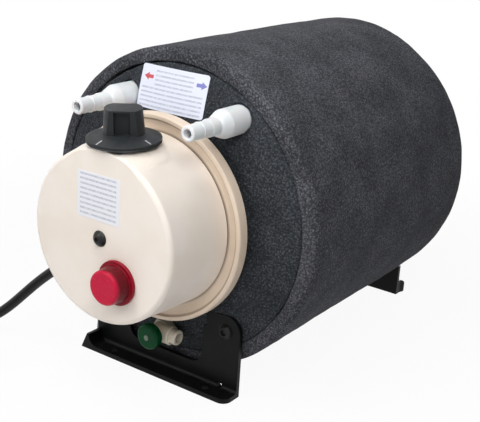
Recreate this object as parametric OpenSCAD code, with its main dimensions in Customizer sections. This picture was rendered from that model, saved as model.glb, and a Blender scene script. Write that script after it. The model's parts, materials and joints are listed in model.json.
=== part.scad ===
// Small electric water heater for a caravan.
// A foam-jacketed tank with a moulded front cover, hose tails, a drain valve, two feet and a mains cord.
// Millimetres. +Z is up, +Y runs along the tank to the back, the cover faces -Y.
// The origin is the middle of the four foot holes, on the floor.

/* [Jacket] */
// Outside diameter of the foam jacket
foam_d = 230; // [226:1:250]
// Length of the foam wrap between its two rims
foam_len = 235; // [200:1:300]
// Wall of the foam wrap
foam_wrap = 10.5; // [8:0.5:12]
// Rise of the domed ends above the rims
foam_dome = 16; // [13:0.5:18]
// Thickness of the domed foam discs
disc_t = 10; // [8:0.5:11]
// Rounding of the wrap's outer rims
foam_round = 4; // [2:0.5:6]
// Space between the jacket and the floor
foot_gap = 8; // [6:0.5:20]

/* [Tank] */
// Wall of the steel tank
tank_t = 1; // [0.8:0.1:2]
// Bore of the tank's neck
neck_r = 43; // [38:0.5:44]
// Number of bolts that hold the element plate
plate_bolts = 6; // [4:1:8]

/* [Front cover] */
// Outside diameter of the moulded base ring
ring_d = 147.4; // [140:0.2:156]
// Front of the base ring, measured from the jacket's rim
ring_front = 25.75; // [24:0.25:28]
// Outside diameter of the cover
cover_d = 122.6; // [119:0.2:124]
// Face of the cover, measured from the jacket's rim
cover_front = 77.8; // [74:0.2:84]
// Wall of the cover
cover_t = 2.5; // [2:0.1:3]
// Rounding of the cover's front edge
cover_round = 7.5; // [4:0.5:9]

/* [Thermostat] */
// Diameter of the knob's skirt
knob_d = 49; // [46:0.5:54]
// Height of the knob above its skirt's rim
knob_h = 21.5; // [18:0.5:26]
// Forward lean of the knob's axis in degrees
knob_lean = 3.5; // [0:0.5:4]
// Way that the knob is turned in the photo, in degrees from the front
knob_turn = 34; // [-90:1:90]
// Knob's centre, measured from the jacket's rim
knob_s = 56.2; // [54:0.1:60]
// Radius of the spindle
spindle_r = 3; // [2.5:0.1:3.5]

/* [Pilot lamp] */
// Lamp's place to the right of the face's centre
lamp_x = 15.8; // [10:0.2:18]
// Lamp's place below the face's centre
lamp_drop = 26; // [24:0.5:30]
// Diameter of the lamp's flange
lamp_flange_d = 30.5; // [28:0.5:33]
// Diameter of the lamp's lens
lamp_lens_d = 23.6; // [21:0.2:25]
// How far the lens stands out of the face
lamp_out = 14; // [10:0.5:18]

/* [Hose tails] */
// Hot outlet's place to the right
hot_x = 50; // [46:0.5:54]
// Cold inlet's place to the left
cold_x = 42.5; // [40:0.5:50]
// Height of both tails above the tank's axis
tail_z = 75.5; // [72:0.5:78]
// End of both tails, measured from the jacket's rim
tail_end = 55.5; // [50:0.5:62]
// Diameter of the tails' hubs
hub_d = 19.4; // [17:0.2:21]
// Diameter of the hose step at the tip
hose_d = 10.6; // [9:0.1:11.5]
// Bore of the tails
tail_bore = 6; // [4:0.2:6.5]

/* [Drain valve] */
// Drop of the valve below the tank's axis
drain_drop = 89.5; // [86:0.5:91]
// Diameter of the valve's green knob
drain_knob_d = 19; // [16:0.5:22]
// End of the outlet to the right of the valve's axis
drain_out = 17.5; // [16:0.5:22]
// Turns of the valve's spring
spring_turns = 6; // [4:1:8]

/* [Feet] */
// Width of a foot bracket
foot_w = 131; // [126:1:136]
// Length of the scooped end beyond the foot's width
scoop_out = 3.5; // [2:0.5:6]
// Thickness of the upright plate
plate_t = 3.3; // [3:0.1:4]
// Thickness of the floor flange
flange_t = 3.6; // [3:0.1:5]
// Depth of the floor flange, measured from the jacket's rim
flange_s = 20; // [18:0.5:26]
// Foot holes' places each side of the middle
foot_x = 43; // [40:0.5:46]
// Radius of a foot hole
foot_r = 2.75; // [2.25:0.25:3]

/* [Mains cord] */
// Diameter of the cord
cord_d = 7.6; // [6:0.1:8]
// Radius of the coil's outer turns
coil_r = 51; // [50:0.5:56]
// Direction in which the cord leaves the cover, in degrees
gland_angle = 215; // [212:1:220]

/* [Hidden] */
$fn = 64;
e = 0.02;
axis_h = foam_d/2 + foot_gap;
half = foam_len/2;
foam_in = foam_d/2 - foam_wrap;
dome_r = (foam_in*foam_in + foam_dome*foam_dome)/(2*foam_dome);
dome_c = half + foam_dome - dome_r;
tank_r = foam_in - 0.5;
tank_dome = dome_r - disc_t - 0.2;
boss_s = -2.5;
neck_s = 13;
gasket_s = 15;
plate_s = 19.3;
web_s = 21.8;
foot_s = 22.6;
cover_r = cover_d/2;
cover_in = cover_r - cover_t;
face_in = cover_front - cover_t;
bolt_x = foot_w/2 - 12.5;
bolt_z = 75;
ear_r = 12;
spacer_r = 10.5;
slot_x = 51;
scoop_h = 12;
scoop_r = 12.8;
scoop_x = foot_w/2 + scoop_out;
plate_back = 3.2;
plate_front = plate_back + plate_t;
foot_s_hole = (plate_front + flange_s)/2 + 0.25;
bolt_circle = 51;
knob_z = cover_r + 0.5;
knob_r = knob_d/2;
lamp_r = lamp_lens_d/2;
tail_r = hose_d/2;
drain_z = -drain_drop;
gland_s = 34;
gland_y = -half - gland_s;
coil_x = -168;
coil_y = -110 - half;
turn_pitch = cord_d + 0.9;
coil_low = cord_d/2 + 1.1;
coil_from = 104;
coil_back = 750;
coil_end = 1635;
tie_at = 310;
tie_t = 0.9;
plug_r = 19;
plug_z = coil_low + turn_pitch + cord_d/2 + plug_r + 0.3;
plug_len = 44;

// Frames: face(s) looks at the front from s in front of the jacket's rim, with local z forward.
// turned() spins a profile about the tank's axis.
module face(s = 0) translate([0, -half - s, axis_h]) rotate([90, 0, 0]) children();
module turned() translate([0, 0, axis_h]) rotate([90, 0, 0]) rotate_extrude() children();
module knob_frame() translate([0, -half - knob_s, axis_h + knob_z]) rotate([knob_lean, 0, 0]) children();
module gland_frame() face(gland_s) rotate([0, 0, gland_angle]) rotate([0, 90, 0]) children();
module both_ends() {
  children();
  rotate([0, 0, 180]) children();
}
module ring(r1, r0, h) difference() {
  cylinder(r = r1, h = h);
  translate([0, 0, -1]) cylinder(r = r0, h = h + 2);
}

// Curves
function at(x, z, s) = [x, -half - s, axis_h + z];
function unit(v) = v/norm(v);
function ease(t, a, b) = let (u = min(1, max(0, (t - a)/(b - a)))) u*u*(3 - 2*u);
function bez(a, b, c, d, n) = [for (i = [0:n]) let (u = i/n, v = 1 - u)
  v*v*v*a + 3*v*v*u*b + 3*v*u*u*c + u*u*u*d];
function between(a, b, c, d, u) =
  0.5*(2*b + (c - a)*u + (2*a - 5*b + 4*c - d)*u*u + (3*b - a - 3*c + d)*u*u*u);
function through(p, n) = [for (i = [0:len(p) - 2], k = [0:n - 1])
  between(p[max(0, i - 1)], p[i], p[i + 1], p[min(len(p) - 1, i + 2)], k/n)];
function heading(p, i) = unit(p[min(len(p) - 1, i + 1)] - p[max(0, i - 1)]);
module tube(p, r, sides, ref = [0, 0, 1]) {
  n = len(p);
  last = (n - 1)*sides;
  points = [for (i = [0:n - 1])
    let (t = heading(p, i), a = unit(cross(t, ref)), b = cross(t, a))
    for (j = [0:sides - 1]) p[i] + r*(cos(360*j/sides)*a + sin(360*j/sides)*b)];
  walls = [for (i = [0:n - 2], j = [0:sides - 1])
    let (k = (j + 1) % sides, q = i*sides)
    each [[q + j, q + sides + k, q + k], [q + j, q + sides + j, q + sides + k]]];
  ends = [for (k = [1:sides - 2]) each [[0, k, k + 1], [last, last + k + 1, last + k]]];
  polyhedron(points, concat(walls, ends), convexity = 8);
}

// The cord's route: out of the gland, down to the floor and along it to the coil.
function out_of_gland(r) = [r*cos(gland_angle), 0, axis_h + r*sin(gland_angle)];
route = [out_of_gland(48), out_of_gland(58), out_of_gland(68), out_of_gland(78), out_of_gland(88),
  [-80, -0.2, axis_h - 56.2], [-88, -0.7, axis_h - 62.4], [-96, -1.6, axis_h - 69.3],
  [-104, -3, axis_h - 76.9], [-112, -4.9, axis_h - 85.2], [-119.5, -7.1, 29.8],
  [-126.5, -9.5, 22.7], [-133.5, -12, 16.6], [-140.5, -14.5, 11.8],
  [-148, -17, 8.1], [-155, -19.2, 6.1], [-162, -21.2, 5.1]];

// The coil: a spiral in, up a layer and out again, then up to the plug that lies on it.
function coil_radius(t) = min(coil_r, coil_r - turn_pitch*(coil_back - abs(t - coil_back))/360)
  - 12*pow(max(0, t - 2*coil_back)/(coil_end - 2*coil_back), 2);
function coil_height(t) = coil_low + turn_pitch*ease(t, coil_back - 90, coil_back + 90)
  + (plug_z - coil_low - turn_pitch)*ease(t, 2*coil_back - 60, 2*coil_back + 70);
function coil_at(t) = let (a = coil_from + t, r = coil_radius(t))
  [coil_x + r*cos(a), coil_y + r*sin(a), coil_height(t)];
way_in = unit(coil_at(0.5) - coil_at(0));
plug_way = unit(coil_at(coil_end) - coil_at(coil_end - 0.5));
join_at = coil_at(0) - cord_d*way_in;
plug_back = coil_at(coil_end) + cord_d*plug_way;
last_knot = join_at - 4*way_in;
knots = concat([for (q = route) q + [0, gland_y, 0]], [last_knot]);
cord_path = concat(through(knots, 3), [last_knot, join_at]);
coil_path = concat([join_at], [for (t = [0:15:coil_end]) coil_at(t)], [plug_back]);

// What the cord measures: its length, the coil's least gap to itself and the tightest bend.
function total(v, i = 0) = i < len(v) ? v[i] + total(v, i + 1) : 0;
function path_length(p) = total([for (i = [1:len(p) - 1]) norm(p[i] - p[i - 1])]);
function bend(a, b, c) = norm(b - a)*norm(c - b)*norm(c - a)/(2*max(1e-9, norm(cross(b - a, c - a))));
function least_bend(p) = min([for (i = [1:len(p) - 2]) bend(p[i - 1], p[i], p[i + 1])]);
function self_gap(p, skip) = min([for (i = [0:len(p) - 1])
  for (j = [i + skip:1:len(p) - 1]) norm(p[i] - p[j])]) - cord_d;
echo(cord_length_mm = path_length(cord_path) + path_length(coil_path));
echo(coil_self_gap_mm = self_gap(coil_path, 7));
echo(cord_least_bend_mm = least_bend(cord_path), coil_least_bend_mm = least_bend(coil_path));

// Foam jacket
module foam_wrap_sleeve() color("dimgray") turned() {
  translate([foam_in, -half]) square([foam_wrap - foam_round, foam_len]);
  translate([foam_in, -half + foam_round]) square([foam_wrap, foam_len - 2*foam_round]);
  for (k = [-1, 1]) translate([foam_d/2 - foam_round, k*(half - foam_round)]) circle(foam_round);
}
module foam_end() turned() intersection() {
  difference() {
    translate([0, dome_c]) circle(dome_r);
    translate([0, dome_c]) circle(dome_r - disc_t);
  }
  translate([0, half - 30]) square([foam_in - 0.4, 60]);
}
module bolt_places() for (x = [-1, 1]) translate([x*bolt_x, -bolt_z, 0]) children();
module ear_seats() face(plate_back - 0.4) linear_extrude(30) for (k = [-1, 1]) {
  translate([k*bolt_x, -bolt_z]) circle(ear_r + 0.5);
  translate([k*(bolt_x - 8) - 8.5, -bolt_z]) square([17, ear_r + 0.5]);
  translate([k*(bolt_x - 3.5) - 16, -bolt_z - 25]) square([32, 25]);
}
module foam_front_disc() color("dimgray") difference() {
  foam_end();
  face(-40) {
    cylinder(r = bolt_circle + 8, h = 80);
    for (x = [hot_x, -cold_x]) translate([x, tail_z, 0]) cylinder(d = hub_d + 1, h = 80);
    bolt_places() cylinder(r = spacer_r + 0.5, h = 80);
    translate([0, drain_z, 0]) cylinder(r = 8.5, h = 80);
  }
  ear_seats();
}
module foam_rear_disc() color("dimgray") rotate([0, 0, 180]) difference() {
  foam_end();
  face(-40) bolt_places() cylinder(r = spacer_r + 0.5, h = 80);
  ear_seats();
}

// Tank with its neck, sockets and threaded bosses
module plate_places() for (k = [1:plate_bolts]) rotate([0, 0, 360*k/plate_bolts])
  translate([bolt_circle, 0, 0]) children();
module tank_body(g) intersection() {
  translate([0, -half - 20]) square([tank_r - g, foam_len + 40]);
  translate([0, dome_c]) circle(tank_dome - g);
  translate([0, -dome_c]) circle(tank_dome - g);
}
module tank() color("silver") difference() {
  union() {
    turned() difference() {
      tank_body(0);
      tank_body(tank_t);
    }
    face() {
      translate([0, 0, -2]) ring(neck_r + 3.5, neck_r, neck_s + 2);
      translate([0, 0, neck_s - 4.5]) ring(bolt_circle + 6, neck_r, 4.5);
      for (x = [hot_x, -cold_x]) translate([x, tail_z, -12]) cylinder(r = hub_d/2 + 0.2, h = 12 + boss_s);
      translate([0, drain_z, -12]) cylinder(r = 8, h = 12 + boss_s);
      bolt_places() translate([0, 0, -16]) cylinder(r = 7, h = 16 + boss_s);
    }
    rotate([0, 0, 180]) face() bolt_places() translate([0, 0, -16]) cylinder(r = 7, h = 16 + boss_s);
  }
  face(-30) {
    cylinder(r = neck_r, h = 60);
    for (x = [hot_x, -cold_x]) translate([x, tail_z, 0]) cylinder(r = 6, h = 40);
    translate([0, drain_z, 0]) cylinder(r = 4.5, h = 40);
    plate_places() translate([0, 0, 35]) cylinder(r = 2.5 + e, h = 20);
  }
  both_ends() face() bolt_places() translate([0, 0, -14]) cylinder(r = 3 + e, h = 20);
}

// Element plate and what it carries
module bolt_ring(r, h) plate_places() cylinder(r = r, h = h);
module flange_gasket() color("black") face(neck_s) difference() {
  ring(bolt_circle + 5.5, neck_r + 0.5, gasket_s - neck_s);
  translate([0, 0, -1]) bolt_ring(2.7, 6);
}
module element_plate() color("goldenrod") face(gasket_s) difference() {
  cylinder(r = bolt_circle + 5.5, h = plate_s - gasket_s);
  translate([0, 0, -1]) {
    bolt_ring(2.7, 8);
    for (x = [-20, 20]) translate([x, -22, 0]) cylinder(r = 4.2 + e, h = 8);
    translate([0, 20, 0]) cylinder(r = 5 + e, h = 8);
    cylinder(r = 3 + e, h = 8);
  }
}
module flange_bolts() color("gray") face() plate_places() {
  translate([0, 0, neck_s - 6.5]) cylinder(r = 2.5, h = web_s - neck_s + 7);
  translate([0, 0, web_s]) cylinder(r = 4.4, h = 3.6, $fn = 6);
}
module heating_element() color("lightgray") face() translate([0, -22, 0]) {
  for (x = [-20, 20]) translate([x, 0, -170]) {
    cylinder(r = 4.2, h = 196);
    cylinder(r = 1.8, h = 203);
  }
  translate([0, 0, -170]) rotate([90, 0, 0]) rotate_extrude(angle = -180) translate([20, 0]) circle(4.2);
}
module thermowell() color("silver") face() translate([0, 20, 0]) difference() {
  union() {
    translate([0, 0, -120]) cylinder(r = 5, h = 146);
    translate([0, 0, plate_s]) cylinder(r = 7, h = 2);
  }
  translate([0, 0, -118]) cylinder(r = 4, h = 160);
}
module thermostat_bulb() color("peru") face(-110) translate([0, 20, 0]) cylinder(r = 3.2, h = 90);
module capillary() color("peru")
  tube(concat([at(0, 20, -20), at(0, 20, 10)],
    bez(at(0, 20, 26), at(0, 20, 38), at(-6, 37, 31), at(-6, 37, 41), 8)), 0.9, 6);
module thermostat_body() color("ivory") knob_frame() difference() {
  union() {
    translate([-16, -13, -28]) cube([32, 26, 19]);
    translate([0, 0, -9]) cylinder(r = 5, h = 11);
  }
  translate([0, 0, -24]) cylinder(r = spindle_r + 0.05, h = 40);
}
module thermostat_nut() color("silver") knob_frame() translate([0, 0, -0.8]) difference() {
  cylinder(r = 8, h = 2.4, $fn = 6);
  translate([0, 0, -1]) cylinder(r = 5 + e, h = 5);
}
module thermostat_spindle() color("silver") knob_frame() translate([0, 0, -23.5])
  cylinder(r = spindle_r, h = 38.5);
module thermostat_knob() color("black") knob_frame() rotate([0, 0, knob_turn]) difference() {
  union() {
    cylinder(r1 = knob_r - 1.2, r2 = knob_r, h = 1.2);
    translate([0, 0, 1.2]) cylinder(r = knob_r, h = 0.9);
    translate([0, 0, 2.1]) cylinder(r1 = knob_r, r2 = 14.5, h = 3);
    difference() {
      translate([0, 0, 2.1]) cylinder(r1 = 13.8, r2 = 12.2, h = knob_h - 2.1);
      for (k = [-1, 1]) {
        translate([-20, k*19.2 - 10, 5.1]) cube([40, 20, knob_h]);
        translate([-5.2, k*14.6 - 10, 5.1]) cube([10.4, 20, knob_h - 6.4]);
      }
    }
  }
  translate([0, 0, -1]) cylinder(r = 11.5, h = 3.6);
  translate([0, 0, 1]) cylinder(r = spindle_r + e, h = 14.2);
}
module thermal_cutout() color("saddlebrown") face(plate_s) translate([26, 14, 0]) {
  cylinder(r = 8, h = 7);
  translate([0, 0, 7]) cylinder(r = 5, h = 3);
  for (x = [-4, 4]) translate([x - 0.4, -2.5, 9]) cube([0.8, 5, 8]);
}
module terminal_block() color("white") face(web_s) translate([-46, -9, 0]) difference() {
  cube([14, 30, 13]);
  for (k = [0:2]) translate([7, 5 + 10*k, 7]) cylinder(r = 2.2, h = 10);
}
module terminal_screws() color("gold") face(web_s) for (k = [0:2])
  translate([-39, -4 + 10*k, 7]) cylinder(r = 2.15, h = 4);
module wire(p) tube(p, 1.3, 6, [0, 1, 0.3]);
module wire_live() color("sienna")
  wire(bez(at(-39, 16, web_s + 13.2), at(-39, 16, web_s + 30),
    at(-30, 30, web_s + 24), at(-17.5, 42, 52), 10));
module wire_neutral() color("royalblue")
  wire(bez(at(-39, 6, web_s + 13.2), at(-39, 6, web_s + 26),
    at(-26, -14, web_s + 24), at(-20, -22, 35), 10));
module wire_earth() color("limegreen")
  wire(bez(at(-39, -4, web_s + 13.2), at(-39, -4, web_s + 34),
    at(-22, -38, web_s + 14), at(-8, -30, plate_s + 1.9), 10));

// Moulded base ring and cover
module cover_base_ring() color("beige") difference() {
  turned() translate([0, half]) polygon([[38, plate_s], [ring_d/2 - 5.2, plate_s],
    [ring_d/2 - 2.8, ring_front - 9], [ring_d/2 - 0.6, ring_front - 9], [ring_d/2, ring_front - 8.4],
    [ring_d/2, ring_front - 1.5], [ring_d/2 - 0.5, ring_front - 0.5], [ring_d/2 - 1.5, ring_front],
    [ring_d/2 - 3.2, ring_front], [ring_d/2 - 3.7, ring_front - 1.3], [cover_r + 2, web_s], [38, web_s]]);
  face(plate_s - 1) bolt_ring(2.7, 8);
}
module cover_seal() color("black") face(web_s) ring(cover_r - 0.3, cover_in + 0.3, foot_s - web_s);
module cover_solid(r, front, q) turned() translate([0, half]) {
  translate([0, foot_s]) square([r, front - q - foot_s]);
  translate([0, foot_s]) square([r - q, front - foot_s]);
  translate([r - q, front - q]) circle(q);
}
module front_cover() color("ivory") difference() {
  union() {
    cover_solid(cover_r, cover_front, cover_round);
    intersection() {
      cover_solid(cover_r + 2, cover_front, cover_round);
      knob_frame() rotate_extrude()
        polygon([[0, -18], [38.4, -18], [36, -13.5], [30, -7.3], [20, -0.8], [0, -0.8]]);
    }
  }
  cover_solid(cover_in, face_in, cover_round - cover_t);
  face(foot_s - 1) cylinder(r = cover_in, h = 3);
  knob_frame() translate([0, 0, -30]) cylinder(r = 5.3, h = 60);
  knob_frame() translate([0, 0, -0.8]) cylinder(r = knob_r + 2, h = 12);
  face(60) cylinder(r = 2.6, h = 40);
  face(60) translate([lamp_x, -lamp_drop, 0]) cylinder(r = 8.2, h = 40);
  gland_frame() translate([0, 0, 40]) cylinder(r = 6.05, h = 40);
}
module cover_stud() color("silver") face() difference() {
  union() {
    translate([0, 0, gasket_s - 2]) cylinder(r = 3, h = face_in - gasket_s + 2);
    translate([0, 0, plate_s]) cylinder(r = 6, h = 4, $fn = 6);
  }
  translate([0, 0, face_in - 14]) cylinder(r = 2 + e, h = 20);
}
module cover_screw() color("black") face(cover_front) difference() {
  union() {
    translate([0, 0, -14]) cylinder(r = 2, h = 14.5);
    intersection() {
      translate([0, 0, -2.9]) sphere(r = 6.3);
      cylinder(r = 5.6, h = 8);
    }
  }
  translate([0, 0, 2]) cylinder(r = 1.6, h = 6, $fn = 6);
}

// Pilot lamp
module lamp_frame() face(cover_front) translate([lamp_x, -lamp_drop, 0]) children();
module lamp_lens() color("red") lamp_frame() rotate_extrude() difference() {
  union() {
    square([lamp_flange_d/2 - 0.8, 2.4]);
    square([lamp_flange_d/2, 1.6]);
    translate([lamp_flange_d/2 - 0.8, 1.6]) circle(0.8);
    polygon([[0, 0], [lamp_r + 1, 0], [lamp_r + 1, 2.4], [lamp_r, lamp_out - 2], [0, lamp_out - 2]]);
    square([lamp_r - 2, lamp_out]);
    translate([lamp_r - 2, lamp_out - 2]) circle(2);
  }
  translate([-1, -1]) square([lamp_r - 1.2, lamp_out - 1]);
}
module lamp_holder() color("white") lamp_frame() {
  translate([0, 0, -18]) cylinder(r = 8, h = 17.9);
  translate([0, 0, -1]) cylinder(r = 3.5, h = 10);
  for (x = [-3.5, 3.5]) translate([x - 0.4, -2.4, -25]) cube([0.8, 4.8, 8]);
}
module lamp_nut() color("white") lamp_frame() translate([0, 0, -cover_t - 3.5]) ring(11.5, 8 + e, 3.5);

// Hose tails and the tubes inside the tank
module hose_tail() rotate_extrude() difference() {
  polygon([[0, -18], [6 - e, -18], [6 - e, boss_s + 1.5], [hub_d/2 - 0.6, boss_s + 1.5],
    [hub_d/2, boss_s + 2.1], [hub_d/2, 19], [hub_d/2 - 0.5, 20.4], [7.4, 25.4], [6.7, 26.6],
    [tail_r + 0.7, 27.4], [tail_r + 0.7, 35],
    [tail_r + 0.1, 36.2], [tail_r + 0.1, tail_end - 12.2], [tail_r + 0.6, tail_end - 11.6],
    [tail_r, tail_end - 11], [tail_r, tail_end - 0.7], [tail_r - 0.7, tail_end], [0, tail_end]]);
  translate([-1, -20]) square([1 + tail_bore/2, tail_end + 40]);
}
module hot_tail() color("whitesmoke") face() translate([hot_x, tail_z, 0]) hose_tail();
module cold_tail() color("whitesmoke") face() translate([-cold_x, tail_z, 0]) hose_tail();
module tail_seals() color("black") face(boss_s) for (x = [hot_x, -cold_x])
  translate([x, tail_z, 0]) ring(9, 6 + e, 1.5);
module hot_pickup_tube() color("silver") face(-58) translate([hot_x, tail_z, 0]) ring(5, 3.8, 40);
module cold_dip_tube() color("silver") face() translate([-cold_x, tail_z, 0]) difference() {
  union() {
    translate([0, 0, -33]) cylinder(r = 5, h = 15);
    translate([0, -15, -33]) rotate([0, 90, 0]) rotate_extrude(angle = 90) translate([15, 0]) circle(5);
    translate([0, -135, -48]) rotate([-90, 0, 0]) cylinder(r = 5, h = 120);
  }
  translate([0, 0, -34]) cylinder(r = 3.8, h = 20);
  translate([0, -15, -33]) rotate([0, 90, 0]) rotate_extrude(angle = 90) translate([15, 0]) circle(3.8);
  translate([0, -136, -48]) rotate([-90, 0, 0]) cylinder(r = 3.8, h = 121.5);
}

// Drain valve
module drain_frame() face() translate([0, drain_z, 0]) children();
module drain_body() color("ivory") drain_frame() difference() {
  union() {
    translate([0, 0, -14]) cylinder(r = 4.4 - e, h = 20);
    translate([0, 0, boss_s + 1.2]) cylinder(r = 7, h = 20 - boss_s - 1.2);
    translate([0, 0, 7.6]) cylinder(r = 9, h = 4, $fn = 6);
    translate([0, 0, 13]) rotate([0, 90, 0]) rotate_extrude()
      polygon([[0, 0], [7.1, 0], [7.1, drain_out - 6.4], [6.6, drain_out - 5.8], [5.6, drain_out - 5.6],
        [5.6, drain_out - 0.6], [5, drain_out], [0, drain_out]]);
  }
  translate([0, 0, -15]) cylinder(r = 2.6, h = 20);
  translate([0, 0, -2]) cylinder(r = 4.5, h = 19);
  translate([0, 0, 10]) cylinder(r = 2 + 0.06, h = 20);
  translate([0, 0, 13]) rotate([0, 90, 0]) cylinder(r = 3.5, h = 40);
}
module drain_seal_ring() color("black") drain_frame() translate([0, 0, boss_s]) ring(6.6, 4.4, 1.2);
module drain_disc() color("black") drain_frame() translate([0, 0, -1.95]) ring(4, 2 + e, 1.5);
module drain_stem() color("ivory") drain_frame() {
  translate([0, 0, -1.9]) cylinder(r = 2, h = 30.4);
  translate([0, 0, -0.45]) cylinder(r = 4.1, h = 1.1);
}
spring_path = [for (i = [0:8*spring_turns])
  at(3.2*cos(45*i), drain_z + 3.2*sin(45*i), 1.4 + 15*i/(8*spring_turns))];
module drain_spring() color("silver") tube(spring_path, 0.4, 6, [0, 1, 0]);
module drain_knob() color("darkgreen") drain_frame() rotate_extrude() difference() {
  union() {
    translate([0, 20.4]) square([drain_knob_d/2 - 2.4, 7.6]);
    translate([0, 22.8]) square([drain_knob_d/2, 2.8]);
    for (z = [22.8, 25.6]) translate([drain_knob_d/2 - 2.4, z]) circle(2.4);
  }
  translate([-1, 19]) square([3 + 0.08, 20]);
}

// Feet: one moulding, used at both ends, with a scooped wall at its left end
module upright(s, h) translate([0, -half - s, 0]) rotate([90, 0, 0]) linear_extrude(h) children();
module along(x, s, h) translate([x, -half - s, 0]) rotate([90, 0, 90]) linear_extrude(h) children();
module foot_plate() upright(plate_back, plate_t) difference() {
  union() {
    translate([-scoop_x, 0]) square([foot_w/2 + scoop_x, axis_h - bolt_z - 21]);
    translate([-foot_w/2, 0]) square([foot_w, axis_h - bolt_z]);
    for (x = [-1, 1]) translate([x*bolt_x, axis_h - bolt_z]) circle(ear_r + 0.5);
    for (x = [-1, 1]) translate([x*(bolt_x - 8) - 8, axis_h - bolt_z - 1]) square([16, ear_r + 1]);
  }
  translate([-34, 26]) square([68, 60]);
  translate([-24, 16]) square([48, 20]);
  for (x = [-24, 24]) translate([x, 26]) circle(10);
}
module foot_plan(h) translate([0, -half, 0]) linear_extrude(h) {
  translate([-scoop_x, -flange_s + 7]) square([foot_w/2 + scoop_x, flange_s - 7 - plate_back]);
  translate([-scoop_x + 7, -flange_s]) square([foot_w/2 + scoop_x - 14, 8]);
  translate([foot_w/2 - 7, -flange_s + 7]) circle(7);
  translate([-scoop_x + 7, -flange_s + 7]) circle(7);
}
module foot_cove() along(-scoop_x + 8, plate_front, scoop_x + foot_w/2 - 8) difference() {
  translate([-3, flange_t - 0.1]) square([3.1, 3.1]);
  translate([-3, flange_t + 3]) circle(3);
}
module foot_scoop() intersection() {
  foot_plan(scoop_h);
  upright(plate_front - 0.5, flange_s) difference() {
    translate([-scoop_x, 0]) square([15, scoop_h]);
    translate([-scoop_x + 15, flange_t + scoop_r]) circle(scoop_r);
  }
}
module foot() difference() {
  union() {
    foot_plate();
    foot_plan(flange_t);
    foot_cove();
    foot_scoop();
  }
  for (x = [-foot_x, foot_x]) translate([x, -half - foot_s_hole, -1]) cylinder(r = foot_r, h = 10);
  face(0) bolt_places() cylinder(r = 3.2, h = 20);
  upright(0, flange_s) translate([slot_x, flange_t + 1.9]) circle(1.9);
}
module front_foot() color([0.15, 0.15, 0.16]) foot();
module rear_foot() color([0.15, 0.15, 0.16]) rotate([0, 0, 180]) foot();
module foot_spacers() color("gainsboro") both_ends() face(boss_s) bolt_places()
  ring(spacer_r, 3 + e, plate_back - boss_s);
module foot_washers() color("dimgray") both_ends() face(plate_front) bolt_places() ring(5.6, 3 + e, 0.8);
module foot_bolts() color("dimgray") both_ends() face() bolt_places() difference() {
  union() {
    translate([0, 0, -13]) cylinder(r = 3, h = plate_front + 15);
    intersection() {
      translate([0, 0, plate_front - 4.8]) sphere(r = 8);
      translate([0, 0, plate_front + 0.8]) cylinder(r = 5, h = 6);
    }
  }
  translate([0, 0, plate_front + 0.9]) cylinder(r = 2.6, h = 6, $fn = 6);
}

// Mains cord
module cord_gland() color("black") gland_frame() rotate_extrude() difference() {
  polygon([[0, 54], [7.6, 54], [7.6, cover_in - 0.9], [6, cover_in - 0.9], [6, cover_r + 0.1],
    [8, cover_r + 0.1], [8, cover_r + 3], [6.4, cover_r + 4], [4.9, 86], [0, 86]]);
  translate([-1, 50]) square([1 + cord_d/2 + e, 40]);
}
module mains_cord() color("black") tube(cord_path, cord_d/2, 10);
module cord_coil() color("black") tube(coil_path, cord_d/2, 6);
module coil_tie() color("gray") translate([coil_x, coil_y, 0]) rotate([0, 0, coil_from + tie_at]) {
  inner = coil_radius(tie_at + 360) - cord_d/2 - 0.6;
  wide = coil_radius(tie_at + 1080) + cord_d/2 + 0.6 - inner;
  high = coil_low + turn_pitch + cord_d/2 + 0.2 - tie_t;
  translate([inner, -3, tie_t]) difference() {
    translate([-tie_t, 0, -tie_t]) cube([wide + 2*tie_t, 6, high + 2*tie_t]);
    translate([0, -1, 0]) cube([wide, 8, high]);
  }
}
module plug_frame() translate(plug_back) rotate([0, 0, atan2(plug_way.y, plug_way.x)])
  rotate([0, 90, 0]) children();
module plug_body() color("black") plug_frame() difference() {
  rotate_extrude() polygon([[0, 0.2], [5.5, 0.2], [6.5, 1.2], [9, 14], [12.5, 16], [plug_r - 1, 26],
    [plug_r, 27.5], [plug_r, plug_len - 1], [plug_r - 1, plug_len], [0, plug_len]]);
  for (x = [-1, 1]) translate([-3, x*(plug_r + 1.5) - 2.5, plug_len - 13]) cube([6, 5, 20]);
  for (x = [-9.5, 9.5]) translate([x, 0, plug_len - 10]) cylinder(r = 2.4 + e, h = 20);
}
module plug_pins() color("silver") plug_frame() for (x = [-9.5, 9.5]) translate([x, 0, plug_len - 9.9]) {
  cylinder(r = 2.4, h = 27);
  translate([0, 0, 27]) cylinder(r1 = 2.4, r2 = 1.5, h = 1.9);
}

foam_wrap_sleeve();
foam_front_disc();
foam_rear_disc();
tank();
flange_gasket();
element_plate();
flange_bolts();
heating_element();
thermowell();
thermostat_bulb();
capillary();
thermostat_body();
thermostat_nut();
thermostat_spindle();
thermostat_knob();
thermal_cutout();
terminal_block();
terminal_screws();
wire_live();
wire_neutral();
wire_earth();
cover_base_ring();
cover_seal();
front_cover();
cover_stud();
cover_screw();
lamp_lens();
lamp_holder();
lamp_nut();
hot_tail();
cold_tail();
tail_seals();
hot_pickup_tube();
cold_dip_tube();
drain_body();
drain_seal_ring();
drain_stem();
drain_disc();
drain_spring();
drain_knob();
front_foot();
rear_foot();
foot_spacers();
foot_washers();
foot_bolts();
cord_gland();
mains_cord();
cord_coil();
coil_tie();
plug_body();
plug_pins();
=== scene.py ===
import json
import math

import bmesh
import bpy
from mathutils import Matrix, Vector, noise


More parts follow.
